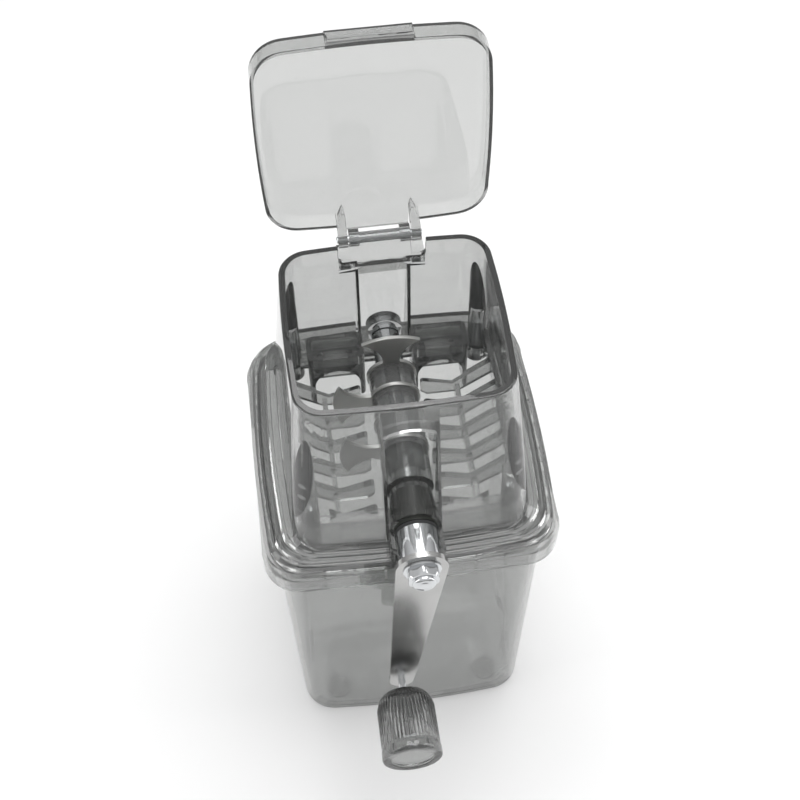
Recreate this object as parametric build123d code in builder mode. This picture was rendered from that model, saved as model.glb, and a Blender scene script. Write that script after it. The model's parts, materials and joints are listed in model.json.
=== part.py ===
from build123d import *

import os
from math import cos, radians, sin

os.makedirs("parts", exist_ok=True)

# Hand-crank ice crusher. Millimetres, +Z up, origin at the centre of the base, user side at -Y.

# ---- Container ----
TUB_BASE_HALF = (57.0, 57.0)
TUB_MOUTH_HALF = (60.8, 59.0)
TUB_BOW = 3.0
TUB_CORNER = 15.5
TUB_WALL = 2.4
TUB_FLOOR = 4.0
BASE_RECESS = 1.5
BASE_RIM_WIDTH = 5.0
PAD_RADIUS = 5.8
PAD_PLACE = (38.0, 42.0)

COLLAR_HALF = (64.4, 62.4)
COLLAR_Z = (145.5, 161.5)
COLLAR_WALL = 2.0
COLLAR_TOP_THICKNESS = 2.6
COLLAR_RIB = 1.2
COLLAR_RIB_PITCH = 13.0
COLLAR_RIBS_PER_SIDE = 7
LUG_Z = (147.5, 156.5)
LUG_PROUD = 1.6
LUG_REACH = 17.0

# ---- Hopper housing ----
SEAT_GAP = 0.3
HOPPER_BASE_HALF = (51.2, 57.5)
HOPPER_RIM_HALF = (44.7, 42.6)
HOPPER_BASE_Z = 174.0
HOPPER_RIM_Z = 247.5
HOPPER_BOW = 1.6
HOPPER_CORNER = 12.5
HOPPER_WALL = 2.6
HOPPER_RIM_ROUND = 0.9
DECK_BOW = 2.6
DECK_CORNER = 15.0
# Outer profile of the stepped deck: half width, half depth, height.
DECK_STEPS = (
    (63.0, 62.2, 161.8),
    (62.8, 62.1, 164.6),
    (61.4, 61.5, 166.2),
    (60.2, 61.0, 166.4),
    (59.4, 60.6, 168.6),
    (56.8, 59.8, 169.4),
    (56.0, 59.4, 171.6),
    (51.4, 57.7, 174.2),
)
# Underside of the deck: half width, half depth, ceiling height.
DECK_HOLLOW_STEPS = ((60.2, 59.6, 163.4), (57.0, 58.2, 166.4), (53.6, 56.8, 168.8))
LOCATING_RIB_Z = 152.0
LOCATING_RIB_WALL = 1.8
LOCATING_RIB_GAP = 0.6

SHAFT_Z = 187.0
STRIP_HALF = 10.4
STRIP_FACE_Y = 43.0
STRIP_WALL = 2.5
STRIP_SIDE_WALL = 1.3
STRIP_TOP_Z = 235.0
STRIP_TOP_RISE = 3.0
PILLAR_PLACE = (42.5, 43.0)
PILLAR_RADIUS = 4.4
PILLAR_HOLE_RADIUS = 1.6
PILLAR_HOLE_TOP_Z = 196.0

BOSS_ROOT_RADIUS = 8.6
BOSS_NOSE_RADIUS = 10.8
BOSS_NOSE_Y = -60.0
BOSS_WALL = 2.3
CRADLE_NOSE_Y = -72.0
APRON_NOSE_Y = -62.0
CRADLE_BORE_RADIUS = 9.1
REAR_BOSS_RADIUS = 8.0
REAR_BOSS_Y = 48.5

# ---- Lid hinge ----
HINGE_Y = 51.7
HINGE_Z = 240.1
HINGE_PIN_RADIUS = 1.5
HINGE_RUNNING_GAP = 0.05
HINGE_PIN_HALF_LENGTH = 18.2
KNUCKLE_RADIUS = 3.6
EAR_X = (13.5, 17.5)
HINGE_TAB_X = (8.6, 13.0)
HINGE_BAR_RADIUS = 2.6
# Web from the wall up to the hinge bar: (behind, above) the hinge axis.
HINGE_WEB = ((-8.2, -12.0), (2.6, -2.6), (0, 1.4), (-3.4, -1.0), (-8.2, -5.6))
HINGE_GUSSET = ((-8.2, -12.0), (1.6, -7.2), (2.2, -5.4), (-8.2, -5.4))
NOTCH_HALF = 18.4
NOTCH_FLOOR_Z = 234.8
NOTCH_CORNER = 3.5

# ---- Lid, drawn about the hinge: v runs back and w up when the lid is shut ----
LID_OPEN_DEG = 94.8
LID_HALF_WIDTH = 47.0
LID_LENGTH = 91.5
LID_BACK_V = -5.8
LID_SKIRT_W = 1.0
LID_TOP_W = 10.4
LID_PANEL = 2.0
LID_SKIRT_WALL = 1.4
LID_BOW = 1.8
LID_CORNER = 14.0
LID_EDGE_RADIUS = 1.6
TAB_HALF_WIDTHS = (18.0, 15.5)
EAR_TIP_V = -12.3
EAR_FULL_WIDTH_V = -5.5
LID_TAIL_V = 2.4
TAB_PROUD = 2.6

# ---- Grate that the blades pass through ----
GRATE_RING_Z = (165.3, 183.0)
GRATE_RING_WIDTH = 2.2
GRATE_UNDERSIDE_Z = 162.5
GRATE_SEAT_Z = 171.5
GRATE_SHELF = 2.2
GRATE_GAP = 0.4
BLADE_PITCH = 12.5
BLADE_Y = (17.5, 5.0, -7.5, -20.0)
RIB_THICKNESS = 3.0
RIB_INNER_X = 13.6
RIB_KNEE_X = 29.0
RIB_TOP_Z = 173.0
RIB_BOTTOM_Z = 162.5
SLOPE_END = (46.2, 183.0)
FRONT_RIB_END = (34.0, 174.0)
RAIL_WIDTH = 2.2
RAIL_TOP_Z = 168.0
POCKET_X = (10.6, 35.8)
POCKET_Y = (26.6, 40.2)
POCKET_TOP_Z = 191.0
POCKET_DEPTH = 7.0
POCKET_WALL = 2.4
POCKET_CORNER = 2.6
CORNER_PAD_RADIUS = 5.2
SCREW_HEAD_RADIUS = 3.4
SCREW_HEAD_HEIGHT = 2.2
SCREW_SHANK_TOP_Z = 188.0

# ---- Rotor and crank ----
SHAFT_RADIUS = 4.0
SHAFT_GAP = 0.05
SHAFT_Y = (-79.5, 45.5)
SHAFT_THREAD_RADIUS = 2.9
SHAFT_THREAD_END_Y = -85.0
HEX_ACROSS_CORNERS = 10.0
HEX_Y = (-33.0, 24.0)
BLADE_THICKNESS = 1.6
BLADE_DEGREES = (90.0, 180.0, -90.0, 180.0)
BLADE_HUB_RADIUS = 11.0
BLADE_REACH = 27.0
BLADE_HEAD_HALF = 12.5
BLADE_NECK_HALF = 3.7
BLADE_NECK_END = 12.5
BLADE_FLARE = (18.6, 6.0)
SPACER_RADIUS = 10.2
REAR_COLLAR_RADIUS = 6.25
BUSH_RADIUS = 5.4
REAR_FLANGE_RADIUS = 6.75
FRONT_FLANGE_RADIUS = 9.0
SEAL_RADIUS = 8.7
SEAL_LENGTH = 1.4
FRONT_FLANGE_THICKNESS = 1.2
FERRULE_RADIUS = 8.5

CRANK_TILT_DEG = 5.0
CRANK_LENGTH = 106.0
ARM_FRONT_Y = -79.5
ARM_THICKNESS = 2.4
ARM_HEAD_RADIUS = 10.8
ARM_TIP_RADIUS = 5.5
NUT_FLANGE_RADIUS = 7.8
NUT_FLANGE_THICKNESS = 1.3
NUT_HEX_RADIUS = 5.9
NUT_HEX_LENGTH = 3.4
NUT_DOME_RADIUS = 5.0
NUT_DOME_CENTRE = 4.2

PIN_RADIUS = 1.75
PIN_HEAD_RADIUS = 3.4
PIN_HEAD_THICKNESS = 1.6
KNOB_Y = (-85.4, -117.4)
KNOB_REAR_RADII = (7.0, 12.2)
KNOB_DOME_LENGTH = 5.5
KNOB_BODY_RADIUS = 13.1
KNOB_RING_RADIUS = 13.6
KNOB_RING_LENGTH = 5.0
KNOB_WALL = 2.2
KNOB_CORE_RADIUS = 4.2
CAP_RADIUS = 9.6
CAP_RECESS = 0.9
CAP_THICKNESS = 1.8

# ---- Worked out from the sizes above ----
PIN_X = -CRANK_LENGTH * sin(radians(CRANK_TILT_DEG))
PIN_Z = SHAFT_Z - CRANK_LENGTH * cos(radians(CRANK_TILT_DEG))
GRATE_RIB_Y = [BLADE_Y[0] + BLADE_PITCH * (0.5 - i) for i in range(6)]


def outline(plane, half_x, half_y, bow, corner):
    """A closed rectangle on a plane, with gently bowed sides and round corners."""
    with BuildSketch(plane) as shape:
        with BuildLine():
            x, y = half_x - bow, half_y - bow
            ThreePointArc((-x, -y), (0, -half_y), (x, -y))
            ThreePointArc((x, -y), (half_x, 0), (x, y))
            ThreePointArc((x, y), (0, half_y), (-x, y))
            ThreePointArc((-x, y), (-half_x, 0), (-x, -y))
        make_face()
        fillet(shape.vertices(), corner)
    return shape.sketch


def level(z):
    """A horizontal plane at height z."""
    return Plane.XY.offset(z)


def across(y):
    """A plane across the shaft axis, facing the user, with its origin on that axis."""
    return Plane(origin=(0, y, SHAFT_Z), x_dir=(1, 0, 0), z_dir=(0, -1, 0))


def block(x_range, y_range, z_range):
    """A plain block between two corners, to be added or cut."""
    size = [high - low for low, high in (x_range, y_range, z_range)]
    centre = [(low + high) / 2 for low, high in (x_range, y_range, z_range)]
    return Pos(*centre) * Box(*size, mode=Mode.PRIVATE)


def barrel(plane, radius, length):
    """A plain cylinder that starts on a plane and grows along its normal."""
    base = (Align.CENTER, Align.CENTER, Align.MIN)
    return plane * Cylinder(radius, length, align=base, mode=Mode.PRIVATE)


def pillar_feet(z):
    """The four planes at height z where the screw pillars stand."""
    x, y = PILLAR_PLACE
    return [Plane(origin=(sx * x, sy * y, z)) for sx in (-1, 1) for sy in (-1, 1)]


def shrunk(half, inset):
    """A pair of half sizes, made smaller all round."""
    return half[0] - inset, half[1] - inset


def save(part, name):
    """Name a finished piece and write it out."""
    part.label = name
    export_step(part, f"parts/{name}.step")


def tub_half_at(z):
    """Outer half sizes of the container at height z."""
    share = z / COLLAR_Z[1]
    return tuple(low + (high - low) * share for low, high in zip(TUB_BASE_HALF, TUB_MOUTH_HALF))


def hopper_half_at(z):
    """Outer half sizes of the hopper at height z."""
    share = (z - HOPPER_BASE_Z) / (HOPPER_RIM_Z - HOPPER_BASE_Z)
    return tuple(low + (high - low) * share for low, high in zip(HOPPER_BASE_HALF, HOPPER_RIM_HALF))


# ---- container_tub: tapered tub with a ribbed hollow collar, corner lugs and a standing rim ----
def tub_loft(z_low, z_high, inset):
    """Solid between two levels, following the container's taper at a given inset."""
    return loft([
        outline(level(z), *shrunk(tub_half_at(z), inset), TUB_BOW, TUB_CORNER - inset)
        for z in (z_low, z_high)
    ], mode=Mode.PRIVATE)


with BuildPart() as container_tub:
    add(tub_loft(0, COLLAR_Z[1], 0))
    fillet(container_tub.faces().sort_by(Axis.Z)[0].edges(), 2.8)
    collar_height = COLLAR_Z[1] - COLLAR_Z[0]
    extrude(outline(level(COLLAR_Z[0]), *COLLAR_HALF, DECK_BOW, DECK_CORNER), amount=collar_height)
    lug_half = shrunk(COLLAR_HALF, -LUG_PROUD)
    lug_outline = outline(level(LUG_Z[0]), *lug_half, DECK_BOW, DECK_CORNER + LUG_PROUD)
    extrude(lug_outline, amount=LUG_Z[1] - LUG_Z[0])
    # the lugs stand only at the corners, so the middle of each side is trimmed back to the collar
    side_reach, front_reach = shrunk(COLLAR_HALF, LUG_REACH)
    trim_z = (LUG_Z[0] - 1, LUG_Z[1] + 1)
    for sign in (-1, 1):
        side_trim = sorted((sign * (COLLAR_HALF[0] - 0.01), sign * 80))
        front_trim = sorted((sign * (COLLAR_HALF[1] - 0.01), sign * 80))
        add(block(side_trim, (-front_reach, front_reach), trim_z), mode=Mode.SUBTRACT)
        add(block((-side_reach, side_reach), front_trim, trim_z), mode=Mode.SUBTRACT)
    gap_height = collar_height - COLLAR_TOP_THICKNESS
    with BuildPart(mode=Mode.PRIVATE) as collar_gap:
        gap_half = shrunk(COLLAR_HALF, COLLAR_WALL)
        gap_outline = outline(level(COLLAR_Z[0]), *gap_half, DECK_BOW, DECK_CORNER - COLLAR_WALL)
        extrude(gap_outline, amount=gap_height)
        add(tub_loft(COLLAR_Z[0] - 1, COLLAR_Z[1], 0.01), mode=Mode.SUBTRACT)
        for step in range(COLLAR_RIBS_PER_SIDE):
            place = COLLAR_RIB_PITCH * (step - (COLLAR_RIBS_PER_SIDE - 1) / 2)
            rib_z = (COLLAR_Z[0] + 2, COLLAR_Z[1])
            rib_span = (place - COLLAR_RIB / 2, place + COLLAR_RIB / 2)
            add(block(rib_span, (-80, 80), rib_z), mode=Mode.SUBTRACT)
            add(block((-80, 80), rib_span, rib_z), mode=Mode.SUBTRACT)
    add(collar_gap.part, mode=Mode.SUBTRACT)
    add(tub_loft(TUB_FLOOR, COLLAR_Z[1], TUB_WALL), mode=Mode.SUBTRACT)
    with BuildPart(mode=Mode.PRIVATE) as base_recess:
        recess_half = shrunk(TUB_BASE_HALF, BASE_RIM_WIDTH)
        extrude(outline(level(0), *recess_half, TUB_BOW, TUB_CORNER - BASE_RIM_WIDTH), amount=BASE_RECESS)
        for x in (-PAD_PLACE[0], PAD_PLACE[0]):
            for y in (-PAD_PLACE[1], PAD_PLACE[1]):
                add(barrel(Plane.XY.move(Location((x, y, 0))), PAD_RADIUS, BASE_RECESS), mode=Mode.SUBTRACT)
    add(base_recess.part, mode=Mode.SUBTRACT)
save(container_tub.part, "container_tub")


# ---- hopper_housing: hopper, stepped deck, shaft bosses, screw pillars and hinge block ----
def hopper_loft(z_low, z_high, inset):
    """Solid between two levels, following the hopper's slope at a given inset."""
    return loft([
        outline(level(z), *shrunk(hopper_half_at(z), inset), HOPPER_BOW, max(HOPPER_CORNER - inset, 4.0))
        for z in (z_low, z_high)
    ], mode=Mode.PRIVATE)


def arch(y, radius, foot_z):
    """An arch-shaped face across the shaft axis: round above, straight legs down to foot_z."""
    with BuildSketch(across(y)) as shape:
        with BuildLine():
            foot = foot_z - SHAFT_Z
            ThreePointArc((-radius, 0), (0, radius), (radius, 0))
            Polyline((radius, 0), (radius, foot), (-radius, foot), (-radius, 0))
        make_face()
    return shape.sketch


hopper_envelope = hopper_loft(DECK_STEPS[0][2], HOPPER_RIM_Z, 0)
hopper_envelope = fillet(hopper_envelope.faces().sort_by(Axis.Z)[-1].edges(), HOPPER_RIM_ROUND)
strip_x = (-STRIP_HALF - STRIP_SIDE_WALL, STRIP_HALF + STRIP_SIDE_WALL)
inner_strip_y = STRIP_FACE_Y - STRIP_WALL

with BuildPart() as hopper_cavity:
    add(hopper_loft(DECK_STEPS[0][2] - 2, HOPPER_RIM_Z + 2, HOPPER_WALL))
    for strip_y in ((inner_strip_y, 80), (-80, -inner_strip_y)):
        add(block(strip_x, strip_y, (GRATE_SEAT_Z + SEAT_GAP, 260)), mode=Mode.SUBTRACT)
    for foot in pillar_feet(GRATE_SEAT_Z):
        add(barrel(foot, PILLAR_RADIUS, 90), mode=Mode.SUBTRACT)

with BuildPart() as hopper_housing:
    for lower, upper in zip(DECK_STEPS, DECK_STEPS[1:]):
        loft([outline(level(step[2]), *step[:2], DECK_BOW, DECK_CORNER) for step in (lower, upper)])
    add(hopper_envelope)
    for half_x, half_y, ceiling in DECK_HOLLOW_STEPS:
        floor_z = DECK_STEPS[0][2] - 1
        extrude(outline(level(floor_z), half_x, half_y, DECK_BOW, DECK_CORNER - 3), amount=ceiling - floor_z,
                mode=Mode.SUBTRACT)
    # locating rib that drops into the container's mouth
    rib_half = shrunk(TUB_MOUTH_HALF, TUB_WALL + LOCATING_RIB_GAP)
    rib_corner = TUB_CORNER - TUB_WALL - LOCATING_RIB_GAP
    rib_height = DECK_STEPS[0][2] - LOCATING_RIB_Z + 3
    extrude(outline(level(LOCATING_RIB_Z), *rib_half, TUB_BOW, rib_corner), amount=rib_height)
    inner_half = shrunk(rib_half, LOCATING_RIB_WALL)
    extrude(outline(level(LOCATING_RIB_Z), *inner_half, TUB_BOW, rib_corner - LOCATING_RIB_WALL),
            amount=rib_height + 2, mode=Mode.SUBTRACT)
    add(hopper_cavity.part, mode=Mode.SUBTRACT)
    # flat recess with an arched top, down the outside of the front and back walls
    for side in (-1, 1):
        recess_foot_z = HOPPER_BASE_Z + 0.3
        shoulder_z = STRIP_TOP_Z - STRIP_TOP_RISE
        with BuildSketch(Plane(origin=(0, side * STRIP_FACE_Y, 0), x_dir=(1, 0, 0), z_dir=(0, -1, 0))):
            with BuildLine():
                ThreePointArc((-STRIP_HALF, shoulder_z), (0, STRIP_TOP_Z), (STRIP_HALF, shoulder_z))
                Polyline((STRIP_HALF, shoulder_z), (STRIP_HALF, recess_foot_z), (-STRIP_HALF, recess_foot_z),
                         (-STRIP_HALF, shoulder_z))
            make_face()
        extrude(amount=-side * 37, mode=Mode.SUBTRACT)
    # front boss and its saddle, hollow from below, then the open cradle under the ferrule
    saddle_foot_z = HOPPER_BASE_Z - 1.8
    loft([
        arch(-STRIP_FACE_Y + 0.5, BOSS_ROOT_RADIUS, saddle_foot_z),
        arch(BOSS_NOSE_Y, BOSS_NOSE_RADIUS, saddle_foot_z),
    ])
    nose_x = (-BOSS_NOSE_RADIUS, BOSS_NOSE_RADIUS)
    add(block(nose_x, (APRON_NOSE_Y, -HOPPER_BASE_HALF[1]), (DECK_STEPS[1][2], SHAFT_Z - 8)))
    add(barrel(across(BOSS_NOSE_Y), BOSS_NOSE_RADIUS, BOSS_NOSE_Y - CRADLE_NOSE_Y))
    add(block(nose_x, (CRADLE_NOSE_Y, BOSS_NOSE_Y), (SHAFT_Z, SHAFT_Z + 12)), mode=Mode.SUBTRACT)
    add(barrel(across(BOSS_NOSE_Y), CRADLE_BORE_RADIUS, 20), mode=Mode.SUBTRACT)
    boss_hollow_half = BOSS_ROOT_RADIUS - BOSS_WALL
    boss_hollow_y = (BOSS_NOSE_Y + BOSS_WALL, -STRIP_FACE_Y)
    boss_hollow_z = (DECK_STEPS[0][2] - 1, SHAFT_Z - 9)
    add(block((-boss_hollow_half, boss_hollow_half), boss_hollow_y, boss_hollow_z), mode=Mode.SUBTRACT)
    # bores for the two bushes
    add(barrel(across(BOSS_NOSE_Y + 25), BUSH_RADIUS, 30), mode=Mode.SUBTRACT)
    add(barrel(across(REAR_BOSS_Y), REAR_BOSS_RADIUS, REAR_BOSS_Y - STRIP_FACE_Y + 0.5))
    add(barrel(across(REAR_BOSS_Y - 1.5), BUSH_RADIUS, 12), mode=Mode.SUBTRACT)
    # notch in the back rim, then the hinge block on the wall below it
    with BuildSketch(Plane(origin=(0, 60, 0), x_dir=(1, 0, 0), z_dir=(0, -1, 0))):
        with Locations((0, (NOTCH_FLOOR_Z + HOPPER_RIM_Z + 10) / 2)):
            RectangleRounded(2 * NOTCH_HALF, HOPPER_RIM_Z + 10 - NOTCH_FLOOR_Z, NOTCH_CORNER)
    extrude(amount=32, mode=Mode.SUBTRACT)
    hinge_tabs = ((-HINGE_TAB_X[1], -HINGE_TAB_X[0]), (HINGE_TAB_X[0], HINGE_TAB_X[1]))
    for tab_x in hinge_tabs:
        tab_plane = Plane(origin=(tab_x[0], HINGE_Y, HINGE_Z), x_dir=(0, 1, 0), z_dir=(1, 0, 0))
        with BuildSketch(tab_plane):
            RectangleRounded(2 * KNUCKLE_RADIUS, 2 * KNUCKLE_RADIUS, 2.4)
        extrude(amount=tab_x[1] - tab_x[0])
    bar_plane = Plane(origin=(-HINGE_TAB_X[1], HINGE_Y, HINGE_Z), x_dir=(0, 1, 0), z_dir=(1, 0, 0))
    add(barrel(bar_plane, HINGE_BAR_RADIUS, 2 * HINGE_TAB_X[1]))
    with BuildSketch(bar_plane):
        Polygon(*HINGE_WEB, align=None)
    extrude(amount=2 * HINGE_TAB_X[1])
    # gussets behind the notch's corners, below the lid's ears
    for gusset_x in (-NOTCH_HALF, HINGE_TAB_X[1]):
        with BuildSketch(Plane(origin=(gusset_x, HINGE_Y, HINGE_Z), x_dir=(0, 1, 0), z_dir=(1, 0, 0))):
            Polygon(*HINGE_GUSSET, align=None)
        extrude(amount=NOTCH_HALF - HINGE_TAB_X[1])
    add(barrel(bar_plane, HINGE_PIN_RADIUS, 2 * HINGE_TAB_X[1]), mode=Mode.SUBTRACT)
    # blind screw holes up the pillars
    for foot in pillar_feet(GRATE_SEAT_Z - 1):
        add(barrel(foot, PILLAR_HOLE_RADIUS, PILLAR_HOLE_TOP_Z - GRATE_SEAT_Z + 1), mode=Mode.SUBTRACT)
save(hopper_housing.part, "hopper_housing")


# ---- ice_grate: ribs the blades pass between, side slopes, back pockets and a ring under the hopper ----
def grate_rib(y, side, slope_end):
    """One comb rib: a flat bar beside the rotor that turns up along the side slope."""
    plane = Plane(origin=(0, y + RIB_THICKNESS / 2, 0), x_dir=(1, 0, 0), z_dir=(0, -1, 0))
    with BuildSketch(plane) as shape:
        Polygon(
            (side * RIB_INNER_X, RIB_BOTTOM_Z + 3),
            (side * (RIB_INNER_X + 3), RIB_BOTTOM_Z),
            (side * (RIB_KNEE_X + 2), RIB_BOTTOM_Z),
            (side * slope_end[0], slope_end[1] - 9),
            (side * slope_end[0], slope_end[1]),
            (side * (RIB_KNEE_X - 1), RIB_TOP_Z - 4.5),
            (side * (RIB_INNER_X + 1), RIB_TOP_Z),
            (side * RIB_INNER_X, RIB_TOP_Z - 1),
            align=None,
        )
    return extrude(shape.sketch, amount=RIB_THICKNESS, mode=Mode.PRIVATE)


def grate_ring(inset):
    """Solid that follows the inside of the hopper's foot, at an inset from the hopper's outside."""
    return hopper_loft(*GRATE_RING_Z, inset)


ring_inset = HOPPER_WALL + GRATE_GAP
seat_half = shrunk(hopper_half_at(GRATE_SEAT_Z), ring_inset + 1.2)
shelf_z = (GRATE_SEAT_Z - GRATE_SHELF, GRATE_SEAT_Z)

with BuildPart() as ice_grate:
    add(grate_ring(ring_inset))
    add(grate_ring(ring_inset + GRATE_RING_WIDTH), mode=Mode.SUBTRACT)
    for shelf_y in ((-seat_half[1], GRATE_RIB_Y[-1]), (POCKET_Y[1] - 1, seat_half[1])):
        add(block((-seat_half[0] + 8, seat_half[0] - 8), shelf_y, shelf_z))
    for foot in pillar_feet(GRATE_UNDERSIDE_Z):
        add(barrel(foot, CORNER_PAD_RADIUS, GRATE_SEAT_Z - GRATE_UNDERSIDE_Z))
    for side in (-1, 1):
        for y in GRATE_RIB_Y[:-1]:
            add(grate_rib(y, side, SLOPE_END))
        add(grate_rib(GRATE_RIB_Y[-1], side, FRONT_RIB_END))
        rail_x = sorted((side * RIB_KNEE_X, side * (RIB_KNEE_X + RAIL_WIDTH)))
        add(block(rail_x, (-seat_half[1], seat_half[1]), (GRATE_UNDERSIDE_Z, RAIL_TOP_Z)))
        pocket_x = sorted((side * POCKET_X[0], side * POCKET_X[1]))
        centre_x, centre_y = sum(pocket_x) / 2, sum(POCKET_Y) / 2
        width, depth = POCKET_X[1] - POCKET_X[0], POCKET_Y[1] - POCKET_Y[0]
        with BuildSketch(level(GRATE_UNDERSIDE_Z)):
            with Locations((centre_x, centre_y)):
                RectangleRounded(width, depth, POCKET_CORNER)
        extrude(amount=POCKET_TOP_Z - GRATE_UNDERSIDE_Z)
        with BuildSketch(level(POCKET_TOP_Z)):
            with Locations((centre_x, centre_y)):
                RectangleRounded(width - 2 * POCKET_WALL, depth - 2 * POCKET_WALL, 0.8)
        extrude(amount=-POCKET_DEPTH, mode=Mode.SUBTRACT)
        # arched opening under the pocket, from the front back to its rear wall
        arch_radius = width / 2 - POCKET_WALL
        arch_centre_z = POCKET_TOP_Z - POCKET_DEPTH - POCKET_WALL - arch_radius
        arch_origin = (centre_x, POCKET_Y[1] - POCKET_WALL, arch_centre_z)
        with BuildSketch(Plane(origin=arch_origin, x_dir=(1, 0, 0), z_dir=(0, -1, 0))):
            Circle(arch_radius)
            Rectangle(2 * arch_radius, 30, align=(Align.CENTER, Align.MAX))
        extrude(amount=depth, mode=Mode.SUBTRACT)
    # room for the housing's strips and pillars, which stand on this piece
    for strip_y in ((inner_strip_y - GRATE_GAP, 80), (-80, -inner_strip_y + GRATE_GAP)):
        wide_x = (strip_x[0] - GRATE_GAP, strip_x[1] + GRATE_GAP)
        add(block(wide_x, strip_y, (GRATE_SEAT_Z, GRATE_RING_Z[1] + 1)), mode=Mode.SUBTRACT)
    for foot in pillar_feet(GRATE_SEAT_Z):
        add(barrel(foot, PILLAR_RADIUS + GRATE_GAP, 40), mode=Mode.SUBTRACT)
    for foot in pillar_feet(GRATE_UNDERSIDE_Z):
        add(barrel(foot, PILLAR_HOLE_RADIUS + 0.3, 20), mode=Mode.SUBTRACT)
save(ice_grate.part, "ice_grate")


# ---- grate_screws: four pan-head screws from below, into the pillars ----
standing = (Align.CENTER, Align.CENTER, Align.MIN)
head_foot_z = GRATE_UNDERSIDE_Z - SCREW_HEAD_HEIGHT

with BuildPart() as grate_screws:
    with GridLocations(2 * PILLAR_PLACE[0], 2 * PILLAR_PLACE[1], 2, 2):
        with Locations((0, 0, head_foot_z)):
            Cylinder(SCREW_HEAD_RADIUS, SCREW_HEAD_HEIGHT, align=standing)
            Cylinder(PILLAR_HOLE_RADIUS, SCREW_SHANK_TOP_Z - head_foot_z, align=standing)
    fillet(grate_screws.faces().group_by(Axis.Z)[0].edges(), 0.7)
save(grate_screws.part, "grate_screws")


# ---- front_bush, rear_bush and front_seal: what the shaft turns in ----
with BuildPart() as front_bush:
    add(barrel(across(-STRIP_FACE_Y - 1), BUSH_RADIUS, 17))
    add(barrel(across(BOSS_NOSE_Y), FRONT_FLANGE_RADIUS, FRONT_FLANGE_THICKNESS))
    add(barrel(across(-STRIP_FACE_Y), SHAFT_RADIUS + SHAFT_GAP, 25), mode=Mode.SUBTRACT)
save(front_bush.part, "front_bush")

with BuildPart() as rear_bush:
    add(barrel(across(REAR_BOSS_Y - 1.5), BUSH_RADIUS, REAR_BOSS_Y - 1.5 - inner_strip_y))
    add(barrel(across(inner_strip_y), REAR_FLANGE_RADIUS, 1.6))
    add(barrel(across(REAR_BOSS_Y - 2.5), SHAFT_RADIUS + SHAFT_GAP, 12), mode=Mode.SUBTRACT)
save(rear_bush.part, "rear_bush")

# ---- hinge_pin ----
with BuildPart() as hinge_pin:
    pin_plane = Plane(origin=(-HINGE_PIN_HALF_LENGTH, HINGE_Y, HINGE_Z), x_dir=(0, 1, 0), z_dir=(1, 0, 0))
    add(barrel(pin_plane, HINGE_PIN_RADIUS, 2 * HINGE_PIN_HALF_LENGTH))
    pin_ends = hinge_pin.faces().filter_by(GeomType.PLANE)
    chamfer(pin_ends.edges(), 0.4)
save(hinge_pin.part, "hinge_pin")


# ---- lid: shallow skirted panel with a thumb tab and two hinge ears, stored standing open ----
lid_back = Vector(0, cos(radians(LID_OPEN_DEG)), -sin(radians(LID_OPEN_DEG)))
lid_up = Vector(0, sin(radians(LID_OPEN_DEG)), cos(radians(LID_OPEN_DEG)))
hinge_point = Vector(0, HINGE_Y, HINGE_Z)


def lid_level(w, v=0.0):
    """A plane parallel to the lid's panel, w above the hinge axis and v behind it."""
    return Plane(origin=hinge_point + lid_back * v + lid_up * w, x_dir=(1, 0, 0), z_dir=lid_up)


def lid_section(x):
    """A plane across the hinge axis at x, drawn in (v, w)."""
    return Plane(origin=hinge_point + Vector(x, 0, 0), x_dir=lid_back, z_dir=(1, 0, 0))


lid_centre_v = LID_BACK_V - LID_LENGTH / 2
lid_half = (LID_HALF_WIDTH, LID_LENGTH / 2)
lid_front_v = LID_BACK_V - LID_LENGTH

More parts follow.
